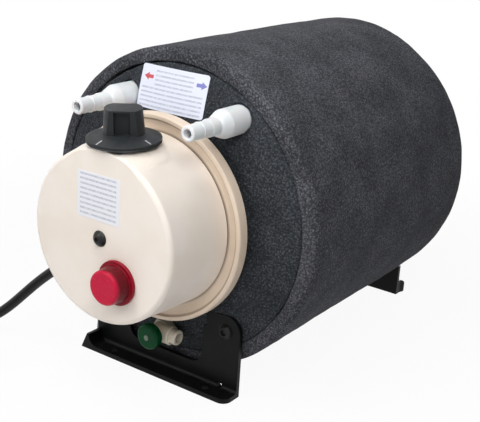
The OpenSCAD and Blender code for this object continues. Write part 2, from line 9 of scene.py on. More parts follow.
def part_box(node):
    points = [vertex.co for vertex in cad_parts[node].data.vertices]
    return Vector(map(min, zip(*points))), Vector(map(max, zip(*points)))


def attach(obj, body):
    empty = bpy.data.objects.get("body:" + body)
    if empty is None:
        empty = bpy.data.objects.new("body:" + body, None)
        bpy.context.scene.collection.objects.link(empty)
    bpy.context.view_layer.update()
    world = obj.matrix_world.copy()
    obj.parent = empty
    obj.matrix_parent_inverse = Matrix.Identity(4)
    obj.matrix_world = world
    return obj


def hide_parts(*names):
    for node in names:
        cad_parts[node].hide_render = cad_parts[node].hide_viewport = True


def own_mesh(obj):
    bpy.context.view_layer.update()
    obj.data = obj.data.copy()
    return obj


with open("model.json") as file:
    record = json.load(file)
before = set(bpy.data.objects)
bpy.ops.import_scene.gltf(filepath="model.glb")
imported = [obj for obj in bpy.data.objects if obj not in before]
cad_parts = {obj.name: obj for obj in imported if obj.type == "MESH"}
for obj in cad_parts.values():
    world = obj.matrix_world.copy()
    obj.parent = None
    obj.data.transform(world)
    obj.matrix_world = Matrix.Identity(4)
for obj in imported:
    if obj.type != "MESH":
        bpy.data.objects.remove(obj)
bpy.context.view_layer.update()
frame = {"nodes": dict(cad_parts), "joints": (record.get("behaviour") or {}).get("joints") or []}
nodes = frame["nodes"]
joints = {joint["name"]: joint for joint in frame["joints"]}
scene = bpy.context.scene

# Lengths are in metres, and a hair is a gap that counts as none
MM = 0.001
HAIR = 0.01*MM

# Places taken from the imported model
wrap_low, wrap_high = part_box("foam_wrap_sleeve")
dome_low, dome_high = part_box("foam_rear_disc")
cover_low, cover_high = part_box("front_cover")
lens_low, lens_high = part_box("lamp_lens")
foam_r = (wrap_high.x - wrap_low.x)/2
foam_half = (wrap_high.y - wrap_low.y)/2
axis_z = (wrap_high.z + wrap_low.z)/2
disc_r = (dome_high.x - dome_low.x)/2
dome_rise = dome_high.y - wrap_high.y
dome_sphere = (disc_r**2 + dome_rise**2)/(2*dome_rise)
face_y = cover_low.y
cover_r = cover_high.x
ring_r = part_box("cover_base_ring")[1].x


# Camera: its place and lens give the photograph's framing
VIEW_TURN = math.radians(34.19)
VIEW_RISE = math.radians(19.2)
VIEW_ROLL = math.radians(3.56)
VIEW_POINT = Vector((-15.6, -14.1, 92.5))*MM
VIEW_DISTANCE = 797.6*MM
LENS_MM = 74.36
SENSOR_MM = 36


def make_camera():
    sideways, forward = math.sin(VIEW_TURN), -math.cos(VIEW_TURN)
    back = Vector((sideways*math.cos(VIEW_RISE), forward*math.cos(VIEW_RISE), math.sin(VIEW_RISE)))
    level = Vector((math.cos(VIEW_TURN), math.sin(VIEW_TURN), 0))
    upright = back.cross(level)
    right = level*math.cos(VIEW_ROLL) + upright*math.sin(VIEW_ROLL)
    up = upright*math.cos(VIEW_ROLL) - level*math.sin(VIEW_ROLL)
    data = bpy.data.cameras.new("camera")
    data.lens = LENS_MM
    data.sensor_width = SENSOR_MM
    data.sensor_fit = "HORIZONTAL"
    camera = bpy.data.objects.new("camera", data)
    stand = Matrix.Translation(VIEW_POINT + back*VIEW_DISTANCE)
    camera.matrix_world = stand @ Matrix((right, up, back)).transposed().to_4x4()
    scene.collection.objects.link(camera)
    scene.camera = camera


make_camera()


# Shader maths
class Value:
    """An output socket that takes part in Python sums, each of which adds a Math node."""

    def __init__(self, owner, socket):
        self.owner = owner
        self.socket = socket

    def maths(self, operation, first, second=0):
        return self.owner.node("Math", {"operation": operation}, {0: first, 1: second})

    def __add__(self, other):
        return self.maths("ADD", self, other)

    def __radd__(self, other):
        return self.maths("ADD", other, self)

    def __sub__(self, other):
        return self.maths("SUBTRACT", self, other)

    def __rsub__(self, other):
        return self.maths("SUBTRACT", other, self)

    def __mul__(self, other):
        return self.maths("MULTIPLY", self, other)

    def __rmul__(self, other):
        return self.maths("MULTIPLY", other, self)

    def __truediv__(self, other):
        return self.maths("DIVIDE", self, other)

    def __pow__(self, other):
        return self.maths("POWER", self, other)

    def __gt__(self, other):
        return self.maths("GREATER_THAN", self, other)

    def __lt__(self, other):
        return self.maths("LESS_THAN", self, other)

    def __abs__(self):
        return self.maths("ABSOLUTE", self)

    def fraction(self):
        return self.maths("FRACT", self)

    def either(self, other):
        return self.maths("MAXIMUM", self, other)


class Nodes:
    """The shader nodes of a material or of the world, added one at a time."""

    def __init__(self, owner, empty=True):
        owner.use_nodes = True
        self.tree = owner.node_tree
        if empty:
            self.tree.nodes.clear()

    def node(self, kind, settings=None, inputs=None, output=0):
        made = self.tree.nodes.new("ShaderNode" + kind)
        for key, value in (settings or {}).items():
            setattr(made, key, value)
        for key, value in (inputs or {}).items():
            self.feed(made.inputs[key], value)
        return Value(self, made.outputs[output]) if made.outputs else made

    def feed(self, socket, value):
        if isinstance(value, Value):
            self.tree.links.new(value.socket, socket)
        else:
            socket.default_value = value

    def seen_straight(self):
        """One where the camera sees a surface itself, in a reflection or through something clear."""
        kinds = ("Is Camera Ray", "Is Glossy Ray", "Is Transmission Ray")
        camera, glossy, through = [self.node("LightPath", output=kind) for kind in kinds]
        return camera.either(glossy).either(through)


class Finish(Nodes):
    """A material with one Principled shader, its constants, and the nodes that feed it."""

    def __init__(self, name, **constants):
        self.material = bpy.data.materials.new(name)
        super().__init__(self.material, empty=False)
        self.shader = self.tree.nodes["Principled BSDF"]
        self.surface(**constants)

    def surface(self, **inputs):
        for socket, value in inputs.items():
            self.feed(self.shader.inputs[socket.replace("_", " ")], value)

    def point(self):
        return self.node("TexCoord", output="Object")

    def along(self, axis, where):
        return self.node("SeparateXYZ", None, {0: where}, axis)

    def place(self, centre=(0, 0, 0), stretch=(1, 1, 1)):
        sockets = {"Vector": self.point(), "Location": centre, "Scale": stretch}
        return self.node("Mapping", {"vector_type": "TEXTURE"}, sockets)

    def noise(self, grain_mm, detail=2.0, rough=0.5, where=None):
        sockets = {"Vector": where or self.place(), "Scale": 1000/grain_mm}
        return self.node("TexNoise", None, {**sockets, "Detail": detail, "Roughness": rough})

    def cells(self, grain_mm):
        return self.node("TexVoronoi", None, {"Vector": self.place(), "Scale": 1000/grain_mm}, "Distance")

    def stretch(self, value, low, high, new_low=0.0, new_high=1.0):
        """Carries the values from low to high over to the new ones, eased at both ends."""
        sockets = {"Value": value, "From Min": low, "From Max": high, "To Min": new_low, "To Max": new_high}
        return self.node("MapRange", {"interpolation_type": "SMOOTHSTEP"}, sockets)

    def mix(self, share, first, second):
        return self.node("Mix", {"data_type": "RGBA"}, {0: share, 6: first, 7: second}, 2)

    def bump(self, height, depth_mm, strength=1.0):
        return self.node("Bump", None, {"Height": height, "Distance": depth_mm*MM, "Strength": strength})


def rgb(*levels):
    """A colour as a screen shows it, 0 to 255, in the shader's linear values."""
    shares = [level/255 for level in levels]
    linear = [s/12.92 if s <= 0.04045 else ((s + 0.055)/1.055)**2.4 for s in shares]
    return (*linear, 1.0)


# Materials: the grain of each is a size in mm
FOAM_CELL, FOAM_GRAIN, FOAM_PATCH = 1.5, 1.1, 26.0
FOAM_DEPTH = 0.7
# Painted light on the foam: pale flecks, the foam's speckle, as a highlight on the crests, and a dark tone as
# shade in the pits
FOAM_FLECK_AND_SHEEN = rgb(128, 130, 136)
FOAM_PIT_SHADE = rgb(24, 24, 27)


def foam_finish(name, low, high, fleck_and_sheen_share):
    """Closed-cell foam: charcoal, with a fine pebbled skin; its pale speckle sits on the crests as a painted
    highlight, and its pits carry painted shade.
    """
    foam = Finish(name, Specular_IOR_Level=0.1)
    crumbs = foam.cells(FOAM_CELL)
    grain = foam.noise(FOAM_GRAIN, detail=3.0, rough=0.6)
    patches = foam.noise(FOAM_PATCH)
    tone = foam.mix(foam.stretch(patches, 0.3, 0.7), low, high)
    # Pale flecks where the grain is high: the foam's speckle placed as a painted highlight on the crests
    flecks_and_sheen = foam.stretch(grain + patches*0.12, 0.56, 0.72)
    flecked_and_sheen = foam.mix(flecks_and_sheen*fleck_and_sheen_share, tone, FOAM_FLECK_AND_SHEEN)
    # Painted shade in the pits, where the bump is low
    pit_shade = foam.stretch(crumbs, 0.34, 0.62)
    height = grain*0.6 + (1 - crumbs)*0.6
    foam.surface(
        Base_Color=foam.mix(pit_shade*0.6, flecked_and_sheen, FOAM_PIT_SHADE),
        Roughness=foam.stretch(grain, 0.2, 0.8, 0.72, 0.95),
        Normal=foam.bump(height, FOAM_DEPTH, 0.8))
    return foam


TONE_DRIFT, GLOSS_SMEAR = 34.0, 7.0


def moulded_finish(name, colour, worn, rough=0.38, grain_mm=0.9, depth_mm=0.02, **constants):
    """A moulded plastic: a slow drift of tone, a fine orange-peel skin and uneven gloss."""
    plastic = Finish(name, **constants)
    drift = plastic.noise(TONE_DRIFT)
    peel = plastic.noise(grain_mm)
    smears = plastic.noise(GLOSS_SMEAR, detail=3.0, rough=0.6)
    plastic.tone = plastic.mix(plastic.stretch(drift, 0.3, 0.7), colour, worn)
    plastic.surface(
        Base_Color=plastic.tone,
        Roughness=plastic.stretch(smears, 0.25, 0.75, rough - 0.06, rough + 0.08),
        Normal=plastic.bump(peel, depth_mm, 0.6))
    return plastic


METAL_LINE, METAL_MOTTLE = 0.8, 5.0
LINE_STRETCH = (1, 18, 1)


def metal_finish(name, colour, dull, rough=0.3):
    """Plain metal with drawn lines and a mottled polish."""
    metal = Finish(name, Metallic=1.0)
    lines = metal.noise(METAL_LINE, detail=3.0, where=metal.place(stretch=LINE_STRETCH))
    mottle = metal.noise(METAL_MOTTLE, detail=3.0)
    metal.surface(
        Base_Color=metal.mix(mottle, colour, dull),
        Roughness=metal.stretch(lines, 0.2, 0.8, rough - 0.08, rough + 0.12),
        Normal=metal.bump(lines, 0.02, 0.4))
    return metal


LENS_CLOUD = 6.0
CAP_DEPTH = (1*MM, 5*MM)
CAP_DRIFT = 2*MM
LENS_RIM = (3.6*MM, 2*MM)


def lens_finish(name, lit_cap, body, lit_rim):
    """Red lamp glass: painted bright at its cap as if lit, painted deep red down its side as shade, and
    painted lighter at its rim as a highlight.
    """
    lens = moulded_finish(
        name, body, body, rough=0.26, grain_mm=1.4, depth_mm=0.015, Specular_IOR_Level=0.14)
    depth = lens.along("Y", lens.point())
    clouds = lens.noise(LENS_CLOUD)
    cap_from, cap_to = [lens_low.y + deep for deep in CAP_DEPTH]
    rim_from, rim_to = [lens_high.y - deep for deep in LENS_RIM]
    # Painted light: the cap takes the lit colour, the side the shaded one, and the rim a painted highlight
    colour = lens.mix(lens.stretch(depth + clouds*CAP_DRIFT, cap_from, cap_to), lit_cap, body)
    lens.surface(Base_Color=lens.mix(lens.stretch(depth, rim_from, rim_to), colour, lit_rim))
    return lens


STEP_IN = 4*MM
STEP_LINE = (0.3*MM, 1.1*MM)
COVER_LINE = (0.4*MM, 2*MM)
# Painted shade: a dark line in the ring's step and along the cover's foot, where shade falls in the crease
RING_PAINTED_SHADE = rgb(120, 98, 78)
RING_PAINTED_SHADE_SHARE = 0.55


def ring_finish(name, colour, worn):
    """The ring's moulding, with a line of painted shade in its step and along the cover's foot."""
    ring = moulded_finish(name, colour, worn, rough=0.46)
    where = ring.place((0, 0, axis_z))
    x, z = ring.along("X", where), ring.along("Z", where)
    out = (x*x + z*z)**0.5
    step = 1 - ring.stretch(abs(out - (ring_r - STEP_IN)), *STEP_LINE)
    foot = 1 - ring.stretch(out, *[cover_r + wide for wide in COVER_LINE])
    # The step and the cover's foot are darkened with painted shade
    ring.surface(Base_Color=ring.mix(step.either(foot)*RING_PAINTED_SHADE_SHARE, ring.tone, RING_PAINTED_SHADE))
    return ring


LABEL_WEAR = 2.2
RULE_GREY = rgb(148, 152, 170)
RULE_HALF = 0.2
ARROW_HALF = 4.2
SHAFT_HALF = 1.2
SHAFT_END = 1
HEAD_SLOPE = 0.62
ARROW_INK = 0.92


def label_finish(name, paper, pitch, first_row, blocks, arrows=()):
    """Label stock: plain grey rules in blocks, and plain arrows. Its sizes are in mm."""
    label = Finish(name)
    where = label.point()
    across = label.along("X", where)*1000
    upward = label.along("Z", where)*1000
    row = ((upward - first_row)/pitch + 0.5).fraction()
    ruled = abs(row - 0.5) < RULE_HALF
    worn = label.noise(LABEL_WEAR, detail=3.0)
    ink = 0
    for (left, low), (right, high) in blocks:
        ink = ink + (across > left)*(across < right)*(upward > low)*(upward < high)
    colour = label.mix(ink*ruled*label.stretch(worn, 0.25, 0.6, 0.2, 0.6), paper, RULE_GREY)
    for middle, height, way, tint in arrows:
        along = (across - middle)*way
        off = abs(upward - height)
        shaft = (along > -ARROW_HALF)*(along < SHAFT_END)*(off < SHAFT_HALF)
        head = (along > 0)*(off < (ARROW_HALF - along)*HEAD_SLOPE)
        colour = label.mix(shaft.either(head)*ARROW_INK, colour, tint)
    label.surface(Base_Color=colour, Roughness=label.stretch(worn, 0.3, 0.7, 0.3, 0.46))
    return label


FOAM = foam_finish("foam", rgb(68, 69, 74), rgb(83, 84, 90), fleck_and_sheen_share=0.6)
# The domed ends' foam: the jacket's foam made darker as painted shade for the front disc under the ring's
# overhang, with fewer flecks
SHADED_DISC_FOAM = foam_finish("disc_foam_painted_shade", rgb(50, 54, 58), rgb(60, 64, 69), fleck_and_sheen_share=0.3)
CREAM = moulded_finish(
    "cream_moulding", rgb(236, 227, 218), rgb(231, 220, 208), rough=0.44, Coat_Weight=0.1, Coat_Roughness=0.3)
TAN = ring_finish("tan_moulding", rgb(224, 206, 187), rgb(215, 196, 175))
KNOB_BLACK = moulded_finish(
    "knob_black", rgb(34, 37, 39), rgb(29, 32, 34),
    rough=0.5, grain_mm=0.6, depth_mm=0.03, Specular_IOR_Level=0.28)
FOOT_BLACK = moulded_finish(
    "foot_black", rgb(9, 10, 10), rgb(13, 14, 14),
    rough=0.38, grain_mm=1.1, depth_mm=0.02, Specular_IOR_Level=0.12)
CORD_BLACK = moulded_finish(
    "cord_black", rgb(16, 16, 17), rgb(22, 22, 23),
    rough=0.44, grain_mm=0.5, depth_mm=0.03, Specular_IOR_Level=0.25)
# One red moulding with painted light: a lit cap, a shaded side and a lighter rim
RED_LENS = lens_finish("red_lens", rgb(188, 24, 58), rgb(94, 6, 20), rgb(134, 8, 31))
MILKY = moulded_finish(
    "milky_nylon", rgb(226, 229, 230), rgb(217, 220, 222),
    rough=0.4, grain_mm=1.2, depth_mm=0.03, Subsurface_Weight=0.15, Subsurface_Scale=0.003)
PALE = moulded_finish("pale_valve", rgb(226, 219, 203), rgb(214, 206, 189), rough=0.36)
GREEN = moulded_finish(
    "green_knob", rgb(0, 72, 36), rgb(0, 56, 28),
    rough=0.2, grain_mm=1.6, depth_mm=0.01, Specular_IOR_Level=0.1)
STEM = moulded_finish("stem_grey", rgb(112, 128, 110), rgb(96, 112, 94), rough=0.4)
WHITE = moulded_finish("white_plastic", rgb(226, 226, 222), rgb(214, 214, 209), rough=0.4)
BROWN = moulded_finish("brown_plastic", rgb(112, 72, 44), rgb(98, 60, 36), rough=0.45)
BLUE = moulded_finish("blue_sheath", rgb(40, 84, 180), rgb(34, 72, 160), rough=0.45)
EARTH = moulded_finish("earth_sheath", rgb(120, 168, 40), rgb(190, 176, 30), rough=0.45)
GREY = moulded_finish("grey_strap", rgb(120, 121, 123), rgb(108, 109, 111), rough=0.5)
RUBBER = moulded_finish("rubber", rgb(20, 20, 21), rgb(26, 26, 27), rough=0.6, Specular_IOR_Level=0.3)
TICK_GREY = moulded_finish("tick_grey", rgb(168, 169, 172), rgb(146, 147, 150), rough=0.5)
STEEL = metal_finish("steel", rgb(205, 205, 203), rgb(180, 180, 178))
BLACK_SCREW = moulded_finish(
    "black_screw", rgb(20, 19, 18), rgb(14, 14, 13),
    rough=0.4, grain_mm=0.5, depth_mm=0.02, Specular_IOR_Level=0.3)
BRASS = metal_finish("brass", rgb(214, 180, 110), rgb(190, 154, 90))
COPPER = metal_finish("copper", rgb(206, 130, 92), rgb(178, 104, 70))


# Building pieces
WELD = 0.002*MM
SHARP_TURN = math.radians(30)


def ease(t, start, end):
    """Nought up to start, one from end on, and a smooth rise between them."""
    u = min(1, max(0, (t - start)/(end - start)))
    return u*u*(3 - 2*u)


def add_piece(name, shape, finish, body="heater", crease=35):
    """Turns a bmesh into a smooth-shaded piece that rides on a body."""
    mesh = bpy.data.meshes.new(name)
    shape.to_mesh(mesh)
    shape.free()
    mesh.shade_smooth()
    mesh.set_sharp_from_angle(angle=math.radians(crease))
    mesh.materials.append(finish.material)
    piece = bpy.data.objects.new(name, mesh)
    scene.collection.objects.link(piece)
    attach(piece, body)
    return piece


def merged_copy(node):
    """A node's mesh, with its loose triangles joined at their corners."""
    shape = bmesh.new()
    shape.from_mesh(nodes[node].data)
    bmesh.ops.remove_doubles(shape, verts=shape.verts, dist=WELD)
    return shape


def round_off(shape, geom, radius, segments, affect="EDGES", clamp=False):
    bmesh.ops.bevel(
        shape, geom=geom, offset=radius, offset_type="OFFSET", segments=segments, profile=0.5,
        affect=affect, clamp_overlap=clamp, material=-1)


def cut_rings(shape, places):
    """Adds points where the shape crosses each of these places along Y."""
    for place in places:
        everything = shape.verts[:] + shape.edges[:] + shape.faces[:]
        bmesh.ops.bisect_plane(shape, geom=everything, plane_co=(0, place, 0), plane_no=(0, 1, 0))


def softened(node, finish, edge_mm, body="heater", flat=0.3, shaping=None):
    """A copy of a rigid node with its sharp edges rounded, in the node's place."""
    shape = merged_copy(node)
    if shaping:
        shaping(shape)
    bmesh.ops.dissolve_limit(shape, angle_limit=math.radians(flat), verts=shape.verts, edges=shape.edges)
    joining = [e for e in shape.edges if len(e.link_faces) == 2]
    sharp = [e for e in joining if e.calc_face_angle(0) > SHARP_TURN]
    round_off(shape, sharp, edge_mm*MM, 3, clamp=True)
    piece = add_piece("rounded_" + node, shape, finish, body)
    flats = piece.modifiers.new("flats", "WEIGHTED_NORMAL")
    flats.keep_sharp = True
    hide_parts(node)
    return piece


def remeshed(piece, voxel_mm):
    """Replaces a piece's mesh with an even one, which rounds its edges a little."""
    modifier = piece.modifiers.new("even", "REMESH")
    modifier.mode = "VOXEL"
    modifier.voxel_size = voxel_mm*MM
    mesh = bpy.data.meshes.new_from_object(piece.evaluated_get(bpy.context.evaluated_depsgraph_get()))
    piece.modifiers.clear()
    material = piece.data.materials[0]
    piece.data = mesh
    if not mesh.materials:
        mesh.materials.append(material)


def ruffle(mesh, waves):
    """Moves each vertex along its normal by smooth noise: pairs of wave length and depth in mm."""
    normals = [v.normal.copy() for v in mesh.vertices]
    for vertex, normal in zip(mesh.vertices, normals):
        lift = sum(deep*noise.noise(vertex.co/(wave*MM)) for wave, deep in waves)
        vertex.co += normal*lift*MM
    mesh.update()


# Foam jacket
FOAM_WALL = 10.5*MM
RIM_ROUND = 5.0*MM
LIP_EASE = 0.9*MM
LONG_CUTS = 56
SPIN_STEPS = 192
FOAM_WAVES = ((44, 0.8), (14, 0.3), (6, 0.14))
FOAM_VOXEL = 1.6
SOFT_CREASE = 80


def make_wrap():
    """The foam sleeve: its section is rounded at the rims and spun round the tank's axis."""
    shape = bmesh.new()
    inner = foam_r - FOAM_WALL
    corners = ((inner, -foam_half), (foam_r, -foam_half), (foam_r, foam_half), (inner, foam_half))
    section = [shape.verts.new((r, y, axis_z)) for r, y in corners]
    for i in range(4):
        shape.edges.new((section[i], section[(i + 1) % 4]))
    round_off(shape, [section[1], section[2]], RIM_ROUND, 6, "VERTICES")
    lips = [v for v in shape.verts if v.co.x < inner + HAIR]
    round_off(shape, lips, LIP_EASE, 2, "VERTICES")
    long_side = [e for e in shape.edges if e.calc_length() > foam_half]
    bmesh.ops.subdivide_edges(shape, edges=long_side, cuts=LONG_CUTS)
    bmesh.ops.spin(
        shape, geom=shape.verts[:] + shape.edges[:], cent=(0, 0, axis_z), axis=(0, 1, 0),
        angle=2*math.pi, steps=SPIN_STEPS, use_merge=True)
    bmesh.ops.remove_doubles(shape, verts=shape.verts, dist=HAIR)
    bmesh.ops.recalc_face_normals(shape, faces=shape.faces)
    wrap = add_piece("foam_wrap", shape, FOAM, crease=SOFT_CREASE)
    ruffle(wrap.data, FOAM_WAVES)
    return wrap


def make_disc(node, name):
    """A domed end of foam, from the solid's shape."""
    disc = add_piece(name, merged_copy(node), SHADED_DISC_FOAM, crease=SOFT_CREASE)
    remeshed(disc, FOAM_VOXEL)
    disc.data.shade_smooth()
    ruffle(disc.data, FOAM_WAVES)
    return disc


SEAM_REACH = 3.0*MM
SEAM_OPEN = 0.5*MM
GAPE_MEAN = 0.6
GAPE_WAVE = 9*MM
SHUT_TO, OPEN_FROM = 65, 115
ANGLES_FROM = -120


def open_seam(mesh, way):
    """Moves the wrap's or the disc's side of their seam, which gapes unevenly at the upper left."""
    seam_r = foam_r - FOAM_WALL
    for vertex in mesh.vertices:
        x, z = vertex.co.x, vertex.co.z - axis_z
        off = math.hypot(x, z)
        near = 1 - abs(off - seam_r)/SEAM_REACH
        if near <= 0 or vertex.co.y > wrap_low.y + SEAM_REACH:
            continue
        angle = (math.degrees(math.atan2(z, x)) - ANGLES_FROM) % 360 + ANGLES_FROM
        gape = ease(angle, SHUT_TO, OPEN_FROM)
        uneven = GAPE_MEAN + noise.noise(Vector((x, 0, z))/GAPE_WAVE)
        shift = near*SEAM_OPEN*gape*uneven*way
        vertex.co.x += x/off*shift
        vertex.co.z += z/off*shift
    mesh.update()


def make_jacket():
    wrap = make_wrap()
    front = make_disc("foam_front_disc", "foam_front")
    rear = make_disc("foam_rear_disc", "foam_rear")
    open_seam(wrap.data, 1)
    open_seam(front.data, -1)
    for soft, node in ((wrap, "foam_wrap_sleeve"), (front, "foam_front_disc"), (rear, "foam_rear_disc")):
        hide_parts(node)


make_jacket()

# Mains lead: the route out of the gland, along the floor and into the coil, in mm
CORD_D = 7.6
GLAND_TURN = math.radians(215)
GLAND_Y = wrap_low.y/MM - 34
AXIS_Z = axis_z/MM
COIL_X = -168
COIL_Y = wrap_low.y/MM - 110
COIL_R = 51
TURN_PITCH = CORD_D + 0.9
COIL_LOW = CORD_D/2 + 1.1
PLUG_R = 19
PLUG_Z = COIL_LOW + TURN_PITCH + CORD_D/2 + PLUG_R + 0.3
PLUG_IN = 12
LEAD_IN = 4
ROUTE_STEPS = 3

# Places along the coil, in degrees of its turns
COIL_FROM = 104
COIL_BACK = 750
COIL_OUT = 2*COIL_BACK
COIL_END = 1635
COIL_STEP = 7.5
LAYER_CLIMB = 90
PLUG_CLIMB = (COIL_OUT - 60, COIL_OUT + 70)
NEXT_TO = 0.5


def out_of_gland(r):
    """A point straight out from the tank's axis through the gland."""
    return (r*math.cos(GLAND_TURN), 0, AXIS_Z + r*math.sin(GLAND_TURN))


CORD_ROUTE = (
    out_of_gland(48), out_of_gland(58), out_of_gland(68), out_of_gland(78), out_of_gland(88),
    (-80, -0.2, AXIS_Z - 56.2), (-88, -0.7, AXIS_Z - 62.4), (-96, -1.6, AXIS_Z - 69.3),
    (-104, -3, AXIS_Z - 76.9), (-112, -4.9, AXIS_Z - 85.2), (-119.5, -7.1, 29.8),
    (-126.5, -9.5, 22.7), (-133.5, -12, 16.6), (-140.5, -14.5, 11.8),
    (-148, -17, 8.1), (-155, -19.2, 6.1), (-162, -21.2, 5.1))


def coil_at(t):
    """A point of the coil, t degrees along it: a spiral in, up a layer, out again and up to the plug."""
    angle = math.radians(COIL_FROM + t)
    radius = min(COIL_R, COIL_R - TURN_PITCH*(COIL_BACK - abs(t - COIL_BACK))/360)
    radius -= PLUG_IN*(max(0, t - COIL_OUT)/(COIL_END - COIL_OUT))**2
    height = COIL_LOW + TURN_PITCH*ease(t, COIL_BACK - LAYER_CLIMB, COIL_BACK + LAYER_CLIMB)
    height += (PLUG_Z - COIL_LOW - TURN_PITCH)*ease(t, *PLUG_CLIMB)
    return Vector((COIL_X + radius*math.cos(angle), COIL_Y + radius*math.sin(angle), height))


def smooth_through(knots, steps):
    """Points of a smooth curve through the knots, without the last one."""
    points = []
    for i in range(len(knots) - 1):
        a, b, c, d = knots[max(0, i - 1)], knots[i], knots[i + 1], knots[min(len(knots) - 1, i + 2)]
        for k in range(steps):
            u = k/steps
            points.append(0.5*(2*b + (c - a)*u + (2*a - 5*b + 4*c - d)*u**2 + (3*b - a - 3*c + d)*u**3))
    return points


def cord_points():
    """The lead's middle line, in metres: the route, the way into the coil, its turns and the plug's back."""
    way_in = (coil_at(NEXT_TO) - coil_at(0)).normalized()
    plug_way = (coil_at(COIL_END) - coil_at(COIL_END - NEXT_TO)).normalized()
    join = coil_at(0) - way_in*CORD_D
    last_knot = join - way_in*LEAD_IN
    knots = [Vector(p) + Vector((0, GLAND_Y, 0)) for p in CORD_ROUTE] + [last_knot]
    turns = [coil_at(COIL_STEP*k) for k in range(int(COIL_END/COIL_STEP) + 1)]
    points = smooth_through(knots, ROUTE_STEPS) + [last_knot, join] + turns
    return [p*MM for p in points + [coil_at(COIL_END) + plug_way*CORD_D]]


def make_cord():
    points = cord_points()
    data = bpy.data.curves.new("mains_lead", "CURVE")
    data.dimensions = "3D"
    data.bevel_depth = CORD_D/2*MM
    data.bevel_resolution = 5
    data.use_fill_caps = True
    line = data.splines.new("POLY")
    line.points.add(len(points) - 1)
    for knot, point in zip(line.points, points):
        knot.co = (*point, 1)
    data.materials.append(CORD_BLACK.material)
    cord = bpy.data.objects.new("mains_lead", data)
    scene.collection.objects.link(cord)
    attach(cord, "heater")
    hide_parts("mains_cord", "cord_coil")
    length = sum((b - a).length for a, b in zip(points, points[1:]))
    on_it = [
        softened("plug_body", CORD_BLACK, 0.8),
        softened("plug_pins", STEEL, 0.2),
        softened("coil_tie", GREY, 0.25)]


make_cord()

# Front edge of the cover: a tighter round than the solid's, at the end of a slight draft
SOLID_ROUND = 7.5*MM
EDGE_ROUND = 3.5*MM
EDGE_DRAFT = 2.1*MM
BOSS_REACH = (27*MM, 42*MM)
SIDE_RINGS = 12
FACE_SLACK, SIDE_SLACK, ROUND_SLACK = 0.2*MM, 0.5*MM, 1.2*MM


def draw_in_edge(shape):
    """Moves the outer skin's points: the round closes up, and the side draws in towards it."""
    knob_at = Vector(joints["thermostat_turn"]["pos_m"])
    flat_r = cover_r - SOLID_ROUND
    depth_all = cover_high.y - face_y
    side = depth_all - SOLID_ROUND
    cut_rings(shape, [face_y + SOLID_ROUND + side*ring/SIDE_RINGS for ring in range(1, SIDE_RINGS)])
    for vertex in shape.verts:
        x, z = vertex.co.x, vertex.co.z - axis_z
        out = math.hypot(x, z)
        depth = vertex.co.y - face_y
        on_side = depth > SOLID_ROUND
        skin = flat_r + math.sqrt(max(0, SOLID_ROUND**2 - max(0, SOLID_ROUND - depth)**2))
        if out < flat_r - FACE_SLACK or out < skin - ROUND_SLACK or (on_side and out < cover_r - SIDE_SLACK):
            continue
        way_round = math.acos(max(0, 1 - depth/SOLID_ROUND))
        draft = EDGE_DRAFT*min(1, (depth_all - depth)/side)
        flat_grows = (SOLID_ROUND - EDGE_ROUND)*(1 - math.sin(way_round))
        from_knob = math.hypot(x - knob_at.x, vertex.co.y - knob_at.y)
        share = ease(from_knob, *BOSS_REACH) if on_side and z > 0 else 1
        new_out = out + (flat_grows - draft)*share
        in_round = depth < SOLID_ROUND + HAIR
        vertex.co.x = x*new_out/out
        vertex.co.y = face_y + (depth*EDGE_ROUND/SOLID_ROUND if in_round else depth)
        vertex.co.z = axis_z + z*new_out/out


# Knob skirt: its rim comes down square, close above the cover
RIM_DROP = 0.45*MM
RIM_WIDE = 2*MM
RIM_HIGH = 0.3*MM


def square_rim(shape):
    """Moves the rim's points out to the skirt's full width, a little lower."""
    joint = joints["thermostat_turn"]
    foot = Vector(joint["pos_m"])
    up = Vector(joint["axis"]).normalized()
    skirt_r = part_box("thermostat_knob")[1].x
    for vertex in shape.verts:
        rise = (vertex.co - foot).dot(up)
        away = vertex.co - foot - up*rise
        if rise < RIM_HIGH and away.length > skirt_r - RIM_WIDE:
            vertex.co = foot + away.normalized()*skirt_r - up*RIM_DROP


# Scooped end of the front foot: its corner is square, and its lip leans in as it rises
END_REACH = 15*MM
CORNER_ROUND = 7*MM
ON_CORNER = 0.9*CORNER_ROUND
LIP_RISE = 12*MM
LIP_WALL = 3*MM
LEAN_OUT, LEAN_IN = 2.3*MM, 3.0*MM


def lean_end(shape):
    """Moves the outer corner's points to a square, then the whole end: out at the floor, in above."""
    end_x = min(v.co.x for v in shape.verts)
    front_y = min(v.co.y for v in shape.verts)
    for vertex in shape.verts:
        x, y, z = vertex.co
        if x > end_x + END_REACH:
            continue
        aside = end_x + CORNER_ROUND - x
        ahead = front_y + CORNER_ROUND - y
        off = math.hypot(aside, ahead)
        if aside > 0 and ahead > 0 and off > ON_CORNER:
            grown = off/max(aside, ahead)
            vertex.co.x -= aside*(grown - 1)
            vertex.co.y -= ahead*(grown - 1)
        share = 1 - ease(x - end_x, LIP_WALL, END_REACH)
        vertex.co.x += share*((LEAN_OUT + LEAN_IN)*min(1, z/LIP_RISE) - LEAN_OUT)


# Scooped end of the rear foot: it stands in a little, and its lip comes down in a round
END_IN = 2.0*MM
END_FULL = 5*MM
FLANGE = 3.6*MM
ROUND_FROM, ROUND_TO = 5*MM, 13.5*MM
ROUND_STEPS = 8


